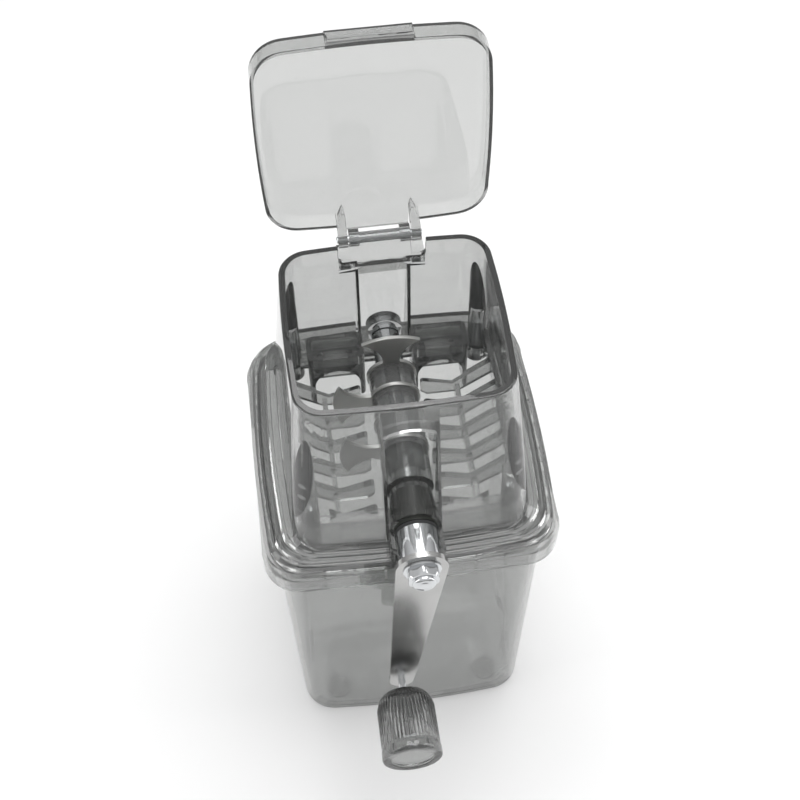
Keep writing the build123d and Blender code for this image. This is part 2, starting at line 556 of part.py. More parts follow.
with BuildPart() as lid:
    skirt_plane = lid_level(LID_SKIRT_W, lid_centre_v)
    extrude(outline(skirt_plane, *lid_half, LID_BOW, LID_CORNER), amount=LID_TOP_W - LID_SKIRT_W)
    panel_face = lid.faces().filter_by(Plane(origin=(0, 0, 0), z_dir=lid_up)).sort_by(Axis.Y)[-1]
    fillet(panel_face.edges(), LID_EDGE_RADIUS)
    # thumb tab: a wedge that stands out most at the skirt's rim
    with BuildPart(mode=Mode.PRIVATE) as tab:
        with BuildSketch(lid_section(-TAB_HALF_WIDTHS[0])):
            tab_root_v = lid_front_v + 3
            tab_top_w = LID_TOP_W - LID_EDGE_RADIUS * 0.5
            Polygon((tab_root_v, LID_SKIRT_W), (lid_front_v - TAB_PROUD, LID_SKIRT_W),
                    (lid_front_v - TAB_PROUD, LID_SKIRT_W + 1.2), (lid_front_v - 0.3, tab_top_w),
                    (tab_root_v, tab_top_w), align=None)
        extrude(amount=2 * TAB_HALF_WIDTHS[0])
        with BuildSketch(lid_level(LID_SKIRT_W - 1)):
            rim_half, nose_half = TAB_HALF_WIDTHS
            nose_v = lid_front_v - TAB_PROUD - 0.5
            Polygon((-rim_half, tab_root_v), (-nose_half, nose_v), (nose_half, nose_v),
                    (rim_half, tab_root_v), align=None)
        extrude(amount=LID_TOP_W, mode=Mode.INTERSECT)
    add(tab.part)
    inner_half = shrunk(lid_half, LID_SKIRT_WALL)
    skirt_depth = LID_TOP_W - LID_SKIRT_W - LID_PANEL
    recess = outline(skirt_plane, *inner_half, LID_BOW, LID_CORNER - LID_SKIRT_WALL)
    extrude(recess, amount=skirt_depth, mode=Mode.SUBTRACT)
    # gap in the back skirt, between the ears
    with BuildSketch(lid_level(LID_SKIRT_W)):
        with Locations((0, LID_BACK_V)):
            Rectangle(2 * EAR_X[0] + 2, 12)
    extrude(amount=skirt_depth, mode=Mode.SUBTRACT)
    # the panel runs on past the hinge between the ears, as a stop
    with BuildSketch(lid_level(LID_TOP_W - LID_PANEL)):
        with Locations((0, (LID_BACK_V - 2 + LID_TAIL_V) / 2)):
            Rectangle(2 * EAR_X[0], LID_TAIL_V - LID_BACK_V + 2)
    extrude(amount=LID_PANEL)
    panel_root = LID_TOP_W - LID_PANEL / 2
    ear_width = EAR_X[1] - EAR_X[0]
    for side in (-1, 1):
        ear_start = -EAR_X[1] if side < 0 else EAR_X[0]
        with BuildPart(mode=Mode.PRIVATE) as ear:
            with BuildSketch(lid_section(ear_start)):
                Circle(KNUCKLE_RADIUS)
                Polygon((0, KNUCKLE_RADIUS), (LID_BACK_V, panel_root), (EAR_TIP_V, panel_root),
                        (EAR_TIP_V, LID_TOP_W - LID_PANEL - 4), (-1.6, -3.2), align=None)
            extrude(amount=ear_width)
            # seen from the panel's side, the ear narrows to a leaf's tip
            with BuildSketch(lid_level(LID_SKIRT_W - 8)):
                tip_x = side * (EAR_X[0] + 1.0)
                Polygon((side * EAR_X[0], KNUCKLE_RADIUS + 1), (side * EAR_X[1], KNUCKLE_RADIUS + 1),
                        (side * EAR_X[1], EAR_FULL_WIDTH_V), (tip_x, EAR_TIP_V),
                        (side * EAR_X[0], EAR_FULL_WIDTH_V - 3), align=None)
            extrude(amount=30, mode=Mode.INTERSECT)
        add(ear.part)
        hole = barrel(lid_section(ear_start), HINGE_PIN_RADIUS + HINGE_RUNNING_GAP, ear_width)
        add(hole, mode=Mode.SUBTRACT)
save(lid.part, "lid")


# ---- drive_shaft: round journals, hexagon for the blades, threaded nose for the nut ----
with BuildPart() as drive_shaft:
    add(barrel(across(SHAFT_Y[1]), SHAFT_RADIUS, SHAFT_Y[1] - SHAFT_Y[0]))
    add(barrel(across(SHAFT_Y[0]), SHAFT_THREAD_RADIUS, SHAFT_Y[0] - SHAFT_THREAD_END_Y))
    with BuildSketch(across(HEX_Y[1])):
        RegularPolygon(HEX_ACROSS_CORNERS / 2, 6)
    extrude(amount=HEX_Y[1] - HEX_Y[0])
save(drive_shaft.part, "drive_shaft")


# ---- blades: a round hub and one axe-shaped arm each ----
def blade(y, degrees):
    """One blade on the shaft, its arm pointing at the given angle."""
    with BuildPart() as blank:
        with BuildSketch(across(y + BLADE_THICKNESS / 2)):
            head_x = (BLADE_REACH**2 - BLADE_HEAD_HALF**2) ** 0.5
            with BuildLine():
                neck_root, neck_end = (4, -BLADE_NECK_HALF), (BLADE_NECK_END, -BLADE_NECK_HALF)
                flare, head_corner = (BLADE_FLARE[0], -BLADE_FLARE[1]), (head_x, -BLADE_HEAD_HALF)
                half = [Line(neck_root, neck_end), ThreePointArc(neck_end, flare, head_corner)]
                ThreePointArc(head_corner, (BLADE_REACH, 0), (head_x, BLADE_HEAD_HALF))
                add([edge.mirror(Plane.XZ) for edge in half])
                Line((4, BLADE_NECK_HALF), neck_root)
            make_face()
            Circle(BLADE_HUB_RADIUS)
        extrude(amount=BLADE_THICKNESS)
    with BuildPart() as piece:
        add(blank.part.rotate(Axis((0, 0, SHAFT_Z), (0, -1, 0)), degrees))
        with BuildSketch(across(y + BLADE_THICKNESS / 2)):
            RegularPolygon(HEX_ACROSS_CORNERS / 2, 6)
        extrude(amount=BLADE_THICKNESS, mode=Mode.SUBTRACT)
    return piece.part


def hex_sleeve(y_back, y_front, radius):
    """A round sleeve on the shaft's hexagon."""
    with BuildPart() as piece:
        with BuildSketch(across(y_back)):
            Circle(radius)
            RegularPolygon(HEX_ACROSS_CORNERS / 2, 6, mode=Mode.SUBTRACT)
        extrude(amount=y_back - y_front)
    return piece.part


def round_sleeve(y_back, y_front, radius):
    """A round sleeve on the shaft's round part."""
    with BuildPart() as piece:
        with BuildSketch(across(y_back)):
            Circle(radius)
            Circle(SHAFT_RADIUS, mode=Mode.SUBTRACT)
        extrude(amount=y_back - y_front)
    return piece.part


for number, (y, degrees) in enumerate(zip(BLADE_Y, BLADE_DEGREES), start=1):
    save(blade(y, degrees), f"blade_{number}")

# ---- spacers between the blades, then the two end pieces of the rotor ----
half_blade = BLADE_THICKNESS / 2
for number, y in enumerate(BLADE_Y[:-1], start=1):
    save(hex_sleeve(y - half_blade, y - BLADE_PITCH + half_blade, SPACER_RADIUS), f"spacer_{number}")

with BuildPart() as front_spacer:
    add(hex_sleeve(BLADE_Y[-1] - half_blade, HEX_Y[0], SPACER_RADIUS))
    add(round_sleeve(HEX_Y[0], -inner_strip_y + 0.6, SPACER_RADIUS))
save(front_spacer.part, "front_spacer")

with BuildPart() as rear_collar:
    add(hex_sleeve(HEX_Y[1], BLADE_Y[0] + half_blade, REAR_COLLAR_RADIUS))
    add(round_sleeve(inner_strip_y - 2.0, HEX_Y[1], REAR_COLLAR_RADIUS))
save(rear_collar.part, "rear_collar")

seal_back_y = BOSS_NOSE_Y - FRONT_FLANGE_THICKNESS - 0.2
ferrule_back_y = seal_back_y - SEAL_LENGTH
save(round_sleeve(seal_back_y, ferrule_back_y, SEAL_RADIUS), "front_seal")
save(round_sleeve(ferrule_back_y, ARM_FRONT_Y + ARM_THICKNESS, FERRULE_RADIUS), "crank_ferrule")


# ---- crank_arm: flat tapered plate ----
arm_back = across(ARM_FRONT_Y + ARM_THICKNESS)
with BuildPart() as crank_arm:
    with BuildSketch(arm_back):
        Circle(ARM_HEAD_RADIUS)
        with Locations((PIN_X, PIN_Z - SHAFT_Z)):
            Circle(ARM_TIP_RADIUS)
        make_hull()
        Circle(SHAFT_RADIUS, mode=Mode.SUBTRACT)
        with Locations((PIN_X, PIN_Z - SHAFT_Z)):
            Circle(PIN_RADIUS, mode=Mode.SUBTRACT)
    extrude(amount=ARM_THICKNESS)
save(crank_arm.part, "crank_arm")

# ---- crank_nut: flanged dome nut ----
with BuildPart() as crank_nut:
    add(barrel(across(ARM_FRONT_Y), NUT_FLANGE_RADIUS, NUT_FLANGE_THICKNESS))
    with BuildSketch(across(ARM_FRONT_Y - NUT_FLANGE_THICKNESS)):
        RegularPolygon(NUT_HEX_RADIUS, 6)
    extrude(amount=NUT_HEX_LENGTH)
    add(across(ARM_FRONT_Y - NUT_DOME_CENTRE) * Sphere(NUT_DOME_RADIUS, mode=Mode.PRIVATE))
    # the dome's back half would pass through the arm
    add(block((-20, 20), (ARM_FRONT_Y, 0), (SHAFT_Z - 20, SHAFT_Z + 20)), mode=Mode.SUBTRACT)
    thread_hole = barrel(across(ARM_FRONT_Y), SHAFT_THREAD_RADIUS, ARM_FRONT_Y - SHAFT_THREAD_END_Y)
    add(thread_hole, mode=Mode.SUBTRACT)
save(crank_nut.part, "crank_nut")


# ---- knob on its pin ----
def knob_profile(points):
    """A ring turned about the knob's axis, from (radius, y) points."""
    with BuildPart() as piece:
        with BuildSketch(Plane.XY):
            Polygon(*points, align=None)
        revolve(axis=Axis.Y)
    return piece.part.moved(Location((PIN_X, 0, PIN_Z)))


def at_pin(y):
    """A plane across the knob's axis, facing the user."""
    return Plane(origin=(PIN_X, y, PIN_Z), x_dir=(1, 0, 0), z_dir=(0, -1, 0))


core_end_y = KNOB_Y[1] + 10.0
arm_back_y = ARM_FRONT_Y + ARM_THICKNESS

with BuildPart() as knob_pin:
    add(barrel(at_pin(arm_back_y + PIN_HEAD_THICKNESS), PIN_HEAD_RADIUS, PIN_HEAD_THICKNESS))
    add(barrel(at_pin(arm_back_y), PIN_RADIUS, arm_back_y - core_end_y + 0.3))
    add(barrel(at_pin(core_end_y - 0.3), PIN_HEAD_RADIUS, PIN_HEAD_THICKNESS))
    fillet(knob_pin.faces().sort_by(Axis.Y)[-1].edges(), 0.9)
save(knob_pin.part, "knob_pin")

ring_y = KNOB_Y[1] + KNOB_RING_LENGTH
dome_y = KNOB_Y[0] - KNOB_DOME_LENGTH
pin_hole = PIN_RADIUS + SHAFT_GAP
with BuildPart() as knob_grip:
    add(knob_profile([
        (pin_hole, KNOB_Y[0]), (KNOB_REAR_RADII[0], KNOB_Y[0]), (KNOB_REAR_RADII[0] + 3.4, KNOB_Y[0] - 1.6),
        (KNOB_REAR_RADII[1], dome_y), (KNOB_BODY_RADIUS, ring_y + 0.4), (KNOB_RING_RADIUS, ring_y),
        (KNOB_RING_RADIUS, KNOB_Y[1] + 0.8), (KNOB_RING_RADIUS - 0.8, KNOB_Y[1]), (CAP_RADIUS, KNOB_Y[1]),
        (CAP_RADIUS, KNOB_Y[1] + CAP_RECESS + CAP_THICKNESS),
        (KNOB_BODY_RADIUS - KNOB_WALL, KNOB_Y[1] + CAP_RECESS + CAP_THICKNESS + 1.2),
        (KNOB_REAR_RADII[1] - KNOB_WALL, dome_y), (KNOB_CORE_RADIUS, dome_y + 1.5),
        (KNOB_CORE_RADIUS, core_end_y), (pin_hole, core_end_y),
    ]))
save(knob_grip.part, "knob_grip")

with BuildPart() as knob_end_cap:
    add(barrel(at_pin(KNOB_Y[1] + CAP_RECESS + CAP_THICKNESS), CAP_RADIUS, CAP_THICKNESS))
save(knob_end_cap.part, "knob_end_cap")
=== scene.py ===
import json
from math import cos, pi, sin

import bmesh
import bpy
from bpy.props import FloatProperty, FloatVectorProperty, IntProperty, PointerProperty
from mathutils import Matrix, Vector


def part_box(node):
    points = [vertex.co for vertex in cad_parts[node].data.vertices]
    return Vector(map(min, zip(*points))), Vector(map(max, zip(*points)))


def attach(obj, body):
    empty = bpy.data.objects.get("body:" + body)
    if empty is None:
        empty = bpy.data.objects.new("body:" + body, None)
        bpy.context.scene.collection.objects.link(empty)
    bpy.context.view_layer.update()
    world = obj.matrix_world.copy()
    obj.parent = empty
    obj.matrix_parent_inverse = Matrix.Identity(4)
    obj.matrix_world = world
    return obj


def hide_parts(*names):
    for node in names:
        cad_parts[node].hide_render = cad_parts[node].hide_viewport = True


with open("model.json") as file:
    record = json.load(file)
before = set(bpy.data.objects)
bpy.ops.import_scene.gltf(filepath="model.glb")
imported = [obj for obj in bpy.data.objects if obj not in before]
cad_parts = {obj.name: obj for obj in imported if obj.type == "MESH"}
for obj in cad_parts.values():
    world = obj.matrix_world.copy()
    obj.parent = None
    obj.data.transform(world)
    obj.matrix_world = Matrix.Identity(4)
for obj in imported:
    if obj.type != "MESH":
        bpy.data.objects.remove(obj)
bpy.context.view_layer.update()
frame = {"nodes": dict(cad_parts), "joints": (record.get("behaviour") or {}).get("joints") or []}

bl_info = {
    "name": "Hand-crank ice crusher",
    "version": (1, 0, 0),
    "blender": (4, 5, 0),
    "location": "View3D > Sidebar > Ice crusher",
    "description": "Finishes a transparent ice crusher with a steel rotor, a chrome crank and a ribbed knob",
    "category": "Object",
}

MM = 0.001
NODES = frame["nodes"]
JOINT_PLACE = {joint["name"]: Vector(joint["pos_m"]) for joint in frame["joints"] if "pos_m" in joint}

# a view through lid, hopper, grate and container crosses some thirty surfaces
LIGHT_BOUNCES = 32
FLOOR_HALF = 3.0
LAMP_AIM = Vector((0, 0, 0.17))
CAMERA_PLACE = (-0.0385, -0.3398, 0.6814)
CAMERA_FORWARD = Vector((0.067, 0.569, -0.819))
CAMERA_UP = Vector((0.113, 0.812, 0.573))


# ---- Colours, nodes and meshes ----
def srgb(code):
    """An sRGB hex colour as linear red, green and blue."""
    parts = [int(code[i:i + 2], 16) / 255 for i in (1, 3, 5)]
    return tuple(c / 12.92 if c <= 0.04045 else ((c + 0.055) / 1.055) ** 2.4 for c in parts)


def rgba(colour):
    """A colour with full alpha, for a colour socket."""
    return (*colour, 1.0)


def add_node(tree, kind, inputs=None, **settings):
    """Adds a node with its settings; each input is given a value, or another node's output to link."""
    node = tree.nodes.new(kind)
    for name, value in settings.items():
        setattr(node, name, value)
    for key, value in (inputs or {}).items():
        if isinstance(value, bpy.types.NodeSocket):
            tree.links.new(value, node.inputs[key])
        else:
            node.inputs[key].default_value = value
    return node


def new_material(name):
    """An empty node material and its tree."""
    material = bpy.data.materials.new(name)
    material.use_nodes = True
    material.node_tree.nodes.clear()
    return material, material.node_tree


def object_points(tree, scale, turn=(0, 0, 0)):
    """Object coordinates, turned and then scaled, so a pattern has a real size along each way."""
    points = add_node(tree, "ShaderNodeTexCoord")
    turned = add_node(tree, "ShaderNodeMapping", {"Vector": points.outputs["Object"], "Rotation": turn})
    return add_node(tree, "ShaderNodeMapping", {"Vector": turned.outputs[0], "Scale": scale}).outputs[0]


def between(tree, value, low, high):
    """A 0 to 1 pattern turned to the range low to high."""
    limits = {"Value": value, "From Min": 0.0, "From Max": 1.0, "To Min": low, "To Max": high}
    return add_node(tree, "ShaderNodeMapRange", limits).outputs["Result"]


# ---- Materials ----
def smoke_plastic(name, settings, density, clarity):
    """Injection-moulded styrene acrylonitrile, tinted smoke grey and polished in the mould.

    The tint is in the depth of the plastic, so thick places and edges seen along their length go dark, as
    they do in a real tinted part. What isn't clear is a faint grey haze that keeps such edges from going
    black. Slow waves from the mould bend what is seen through the walls a little."""
    material, tree = new_material(name)
    waves = add_node(tree, "ShaderNodeTexNoise", {
        "Vector": object_points(tree, (1, 1, 1)), "Scale": 1 / (14 * MM), "Detail": 1.0, "Roughness": 0.4,
    })
    rubbed = add_node(tree, "ShaderNodeTexNoise", {
        "Vector": object_points(tree, (1, 1, 1)), "Scale": 1 / (3 * MM), "Detail": 5.0, "Roughness": 0.7,
    })
    bump = add_node(tree, "ShaderNodeBump", {
        "Height": waves.outputs[0], "Strength": 0.12, "Distance": 0.25 * MM,
    })
    body = add_node(tree, "ShaderNodeBsdfPrincipled", {
        "Base Color": rgba(settings.surface_tint), "IOR": 1.57, "Transmission Weight": clarity,
        "Roughness": between(tree, rubbed.outputs[0], settings.gloss_low, settings.gloss_high),
        "Normal": bump.outputs[0],
    })
    # lamps pass straight through, so the floor and the pieces inside are lit as well as they are in reality
    clear = add_node(tree, "ShaderNodeBsdfTransparent", {"Color": rgba(srgb("#FCFCFC"))})
    rays = add_node(tree, "ShaderNodeLightPath")
    surface = add_node(tree, "ShaderNodeMixShader", {
        0: rays.outputs["Is Shadow Ray"], 1: body.outputs[0], 2: clear.outputs[0],
    })
    depth = add_node(tree, "ShaderNodeVolumeAbsorption", {
        "Color": rgba(settings.depth_tint), "Density": density / MM,
    })
    add_node(tree, "ShaderNodeOutputMaterial", {"Surface": surface.outputs[0], "Volume": depth.outputs[0]})
    return material


def chrome_plate(name, settings):
    """Bright chromium plate on polished steel.

    It mirrors the room sharply, and a trace of orange peel from the buffing breaks up the reflections."""
    material, tree = new_material(name)
    peel = add_node(tree, "ShaderNodeTexNoise", {
        "Vector": object_points(tree, (1, 1, 1)), "Scale": 1 / (2.2 * MM), "Detail": 2.0,
    })
    wiped = add_node(tree, "ShaderNodeTexNoise", {
        "Vector": object_points(tree, (1, 0.3, 1)), "Scale": 1 / (1.1 * MM), "Detail": 6.0, "Roughness": 0.7,
    })
    bump = add_node(tree, "ShaderNodeBump", {
        "Height": peel.outputs[0], "Strength": 0.1, "Distance": 0.05 * MM,
    })
    body = add_node(tree, "ShaderNodeBsdfPrincipled", {
        "Base Color": rgba(settings.chrome), "Metallic": 1.0, "Normal": bump.outputs[0],
        "Roughness": between(tree, wiped.outputs[0], 0.03, 0.12),
    })
    add_node(tree, "ShaderNodeOutputMaterial", {"Surface": body.outputs[0]})
    return material


def brushed_steel(name, settings, turn, rough, line_depth, colours):
    """Stainless strip, belt-brushed along one way before stamping.

    The brush lines are about 0.35 mm apart, coarser than real grit so that they show, and they stretch the
    highlights across the strip. Rubbed patches are a little brighter than the rest."""
    material, tree = new_material(name)
    lines = add_node(tree, "ShaderNodeTexNoise", {
        "Vector": object_points(tree, (1 / settings.brush_spacing, 1 / settings.brush_spacing, 14.0), turn),
        "Scale": 1.0, "Detail": 3.0, "Roughness": 0.6,
    })
    patches = add_node(tree, "ShaderNodeTexNoise", {
        "Vector": object_points(tree, (1, 1, 1)), "Scale": 1 / (12 * MM), "Detail": 2.0,
    })
    tone = add_node(tree, "ShaderNodeMix", {
        0: patches.outputs[0], 6: rgba(colours[0]), 7: rgba(colours[1]),
    }, data_type="RGBA")
    bump = add_node(tree, "ShaderNodeBump", {
        "Height": lines.outputs[0], "Strength": line_depth, "Distance": 0.05 * MM,
    })
    body = add_node(tree, "ShaderNodeBsdfPrincipled", {
        "Base Color": tone.outputs[2], "Metallic": 1.0, "Normal": bump.outputs[0], "Anisotropic": 0.5,
        "Roughness": between(tree, lines.outputs[0], rough - 0.06, rough + 0.1),
    })
    add_node(tree, "ShaderNodeOutputMaterial", {"Surface": body.outputs[0]})
    return material


def turned_acetal(name, settings):
    """Dark acetal, turned on a lathe and burnished: a waxy gloss with fine rings round the bore."""
    material, tree = new_material(name)
    rings = add_node(tree, "ShaderNodeTexWave", {
        "Vector": object_points(tree, (1, 1, 1)), "Scale": 1 / (4 * MM), "Distortion": 0.3, "Detail": 2.0,
    }, bands_direction="Y")
    bump = add_node(tree, "ShaderNodeBump", {
        "Height": rings.outputs[1], "Strength": 0.2, "Distance": 0.05 * MM,
    })
    body = add_node(tree, "ShaderNodeBsdfPrincipled", {
        "Base Color": rgba(settings.bush), "IOR": 1.48, "Normal": bump.outputs[0],
        "Roughness": between(tree, rings.outputs[1], 0.1, 0.22),
    })
    add_node(tree, "ShaderNodeOutputMaterial", {"Surface": body.outputs[0]})
    return material


def moulded_rubber(name, settings):
    """Black nitrile rubber, compression-moulded: dull, with a faint dusty bloom."""
    material, tree = new_material(name)
    bloom = add_node(tree, "ShaderNodeTexNoise", {
        "Vector": object_points(tree, (1, 1, 1)), "Scale": 1 / (1.5 * MM), "Detail": 5.0, "Roughness": 0.7,
    })
    tone = add_node(tree, "ShaderNodeMix", {
        0: bloom.outputs[0], 6: rgba(settings.seal), 7: rgba(srgb("#2C2D2E")),
    }, data_type="RGBA")
    bump = add_node(tree, "ShaderNodeBump", {
        "Height": bloom.outputs[0], "Strength": 0.3, "Distance": 0.05 * MM,
    })
    body = add_node(tree, "ShaderNodeBsdfPrincipled", {
        "Base Color": tone.outputs[2], "IOR": 1.52, "Normal": bump.outputs[0],
        "Roughness": between(tree, bloom.outputs[0], 0.6, 0.8),
    })
    add_node(tree, "ShaderNodeOutputMaterial", {"Surface": body.outputs[0]})
    return material


def studio_paper(name, settings):
    """Matt white background paper, with a barely visible tooth."""
    material, tree = new_material(name)
    tooth = add_node(tree, "ShaderNodeTexNoise", {
        "Vector": object_points(tree, (1, 1, 1)), "Scale": 1 / (4 * MM), "Detail": 4.0,
    })
    bump = add_node(tree, "ShaderNodeBump", {
        "Height": tooth.outputs[0], "Strength": 0.05, "Distance": 0.1 * MM,
    })
    body = add_node(tree, "ShaderNodeBsdfPrincipled", {
        "Base Color": rgba(settings.paper), "Roughness": 0.9, "Normal": bump.outputs[0],
        "Specular IOR Level": 0.1,
    })
    add_node(tree, "ShaderNodeOutputMaterial", {"Surface": body.outputs[0]})
    return material


def finish_node(name, material):
    """Gives a CAD node its material."""
    slots = NODES[name].material_slots
    for slot in slots:
        slot.material = material


def new_object(name, mesh):
    """A new object at the origin, with its place in its mesh."""
    made = bpy.data.objects.new(name, mesh)
    bpy.context.scene.collection.objects.link(made)
    return made


def frozen(made, name):
    """The object's evaluated result as a plain mesh on a new object; the one with modifiers goes."""
    made.update_tag()
    bpy.context.view_layer.update()
    evaluated = made.evaluated_get(bpy.context.evaluated_depsgraph_get())
    mesh = bpy.data.meshes.new_from_object(evaluated)
    bpy.data.objects.remove(made)
    return new_object(name, mesh)


def lathe_mesh(name, section, axis_point, steps):
    """A closed turned piece about an axis along Y; section lists (radius, y) once round, outside first."""
    work = bmesh.new()
    rings = []
    for step in range(steps):
        angle = 2 * pi * step / steps
        rings.append([
            work.verts.new((axis_point.x + r * cos(angle), y, axis_point.z + r * sin(angle)))
            for r, y in section
        ])
    count = len(section)
    for step, ring in enumerate(rings):
        beside = rings[(step + 1) % steps]
        for i in range(count):
            j = (i + 1) % count
            work.faces.new((ring[i], ring[j], beside[j], beside[i]))
    bmesh.ops.recalc_face_normals(work, faces=work.faces)
    mesh = bpy.data.meshes.new(name)
    work.to_mesh(mesh)
    work.free()
    return mesh


# ---- Settings a user would change ----
class IceCrusherPlastic(bpy.types.PropertyGroup):
    """Smoke-tinted plastic"""

    surface_tint: FloatVectorProperty(
        name="Surface tint", description="Colour left by each surface of the plastic", subtype="COLOR",
        default=srgb("#E0E1E0"), min=0.0, max=1.0)
    depth_tint: FloatVectorProperty(
        name="Depth tint", description="Colour that light keeps as it goes through the plastic",
        subtype="COLOR", default=srgb("#4A4B4A"), min=0.0, max=1.0)
    lid_density: FloatProperty(
        name="Lid smoke density", description="How fast the lid darkens with depth, per millimetre",
        default=0.07, min=0.0, soft_max=1.0)
    hopper_density: FloatProperty(
        name="Hopper smoke density", description="How fast the hopper darkens with depth, per millimetre",
        default=0.07, min=0.0, soft_max=1.0)
    container_density: FloatProperty(
        name="Container smoke density", description="How fast the container darkens, per millimetre",
        default=0.07, min=0.0, soft_max=1.0)
    grate_density: FloatProperty(
        name="Grate smoke density", description="How fast the grate darkens with depth, per millimetre",
        default=0.12, min=0.0, soft_max=1.0)
    spacer_density: FloatProperty(
        name="Spacer smoke density", description="How fast the rotor's spacers darken, per millimetre",
        default=0.03, min=0.0, soft_max=1.0)
    knob_density: FloatProperty(
        name="Knob smoke density", description="How fast the knob darkens with depth, per millimetre",
        default=0.17, min=0.0, soft_max=1.0)
    clarity: FloatProperty(
        name="Clarity", description="Share of the light that goes clear through; the rest is a grey haze",
        default=0.96, min=0.0, max=1.0)
    spacer_clarity: FloatProperty(
        name="Spacer clarity", description="Clarity of the rotor's spacers, which ice has scuffed",
        default=0.93, min=0.0, max=1.0)
    gloss_low: FloatProperty(
        name="Gloss, lowest roughness", description="Roughness where the plastic is untouched",
        default=0.0, min=0.0, max=1.0)
    gloss_high: FloatProperty(
        name="Gloss, highest roughness", description="Roughness where the plastic has been wiped",
        default=0.05, min=0.0, max=1.0)


class IceCrusherMetal(bpy.types.PropertyGroup):
    """Steel, chrome and the two dark parts"""

    chrome: FloatVectorProperty(
        name="Chrome", description="Colour of the chrome plate", subtype="COLOR",
        default=srgb("#D6D8DA"), min=0.0, max=1.0)
    steel: FloatVectorProperty(
        name="Blade steel", description="Colour of the brushed stainless blades", subtype="COLOR",
        default=srgb("#B4B4B2"), min=0.0, max=1.0)
    steel_bright: FloatVectorProperty(
        name="Blade steel, polished patches", description="Colour where the blades have been rubbed bright",
        subtype="COLOR", default=srgb("#D2D2D0"), min=0.0, max=1.0)
    arm: FloatVectorProperty(
        name="Arm steel", description="Colour of the finely polished crank arm", subtype="COLOR",
        default=srgb("#B3B3B2"), min=0.0, max=1.0)
    arm_bright: FloatVectorProperty(
        name="Arm steel, polished patches", description="Colour where the arm has been rubbed bright",
        subtype="COLOR", default=srgb("#C8C8C7"), min=0.0, max=1.0)
    brush_spacing: FloatProperty(
        name="Brush line spacing", description="Distance between the brush lines", unit="LENGTH",
        subtype="DISTANCE", default=0.35 * MM, min=0.05 * MM)
    bush: FloatVectorProperty(
        name="Bush", description="Colour of the acetal bush", subtype="COLOR",
        default=srgb("#2E302D"), min=0.0, max=1.0)
    seal: FloatVectorProperty(
        name="Seal", description="Colour of the rubber seal", subtype="COLOR",
        default=srgb("#1B1B1C"), min=0.0, max=1.0)


class IceCrusherNut(bpy.types.PropertyGroup):
    """Domed nut of the crank"""

    flange_thickness: FloatProperty(
        name="Flange thickness", description="Thickness of the round flange against the arm", unit="LENGTH",
        subtype="DISTANCE", default=1.1 * MM, min=0.9 * MM)
    hexagon_length: FloatProperty(
        name="Hexagon length", description="Length of the hexagon along the shaft", unit="LENGTH",
        subtype="DISTANCE", default=4.4 * MM, min=2 * MM)
    across_flats: FloatProperty(
        name="Across flats", description="Width of the nut's hexagon from flat to flat", unit="LENGTH",
        subtype="DISTANCE", default=12.4 * MM, min=4 * MM)
    dome: FloatProperty(
        name="Dome radius", description="Radius of the dome where it leaves the hexagon", unit="LENGTH",
        subtype="DISTANCE", default=4.9 * MM, min=1 * MM)
    dome_rise: FloatProperty(
        name="Dome rise", description="How far the dome stands out of the hexagon", unit="LENGTH",
        subtype="DISTANCE", default=2.4 * MM, min=0.2 * MM)
    ring_depth: FloatProperty(
        name="Ring depth", description="Depth of the ring pressed into the dome", unit="LENGTH",
        subtype="DISTANCE", default=0.22 * MM, min=0.0)


class IceCrusherKnob(bpy.types.PropertyGroup):
    """Ribs of the knob"""

    ribs: IntProperty(name="Ribs", description="Number of ribs round the knob", default=48, min=12, max=90)
    rib_depth: FloatProperty(
        name="Rib depth", description="Height of a rib from valley to crest", unit="LENGTH",
        subtype="DISTANCE", default=1.0 * MM, min=0.0)


class IceCrusherStage(bpy.types.PropertyGroup):
    """Floor, lamps and camera"""

    paper: FloatVectorProperty(
        name="Floor", description="Colour of the floor", subtype="COLOR", default=srgb("#F4F4F4"),
        min=0.0, max=1.0)
    key_power: FloatProperty(
        name="Key lamp", description="Power of the large soft lamp overhead", unit="POWER", default=7.0,
        min=0.0)
    side_power: FloatProperty(
        name="Side lamps", description="Power of each tall soft lamp at the side", unit="POWER", default=2.4,
        min=0.0)
    lens: FloatProperty(
        name="Lens", description="Focal length of the camera, in millimetres", default=62.7, min=1.0)


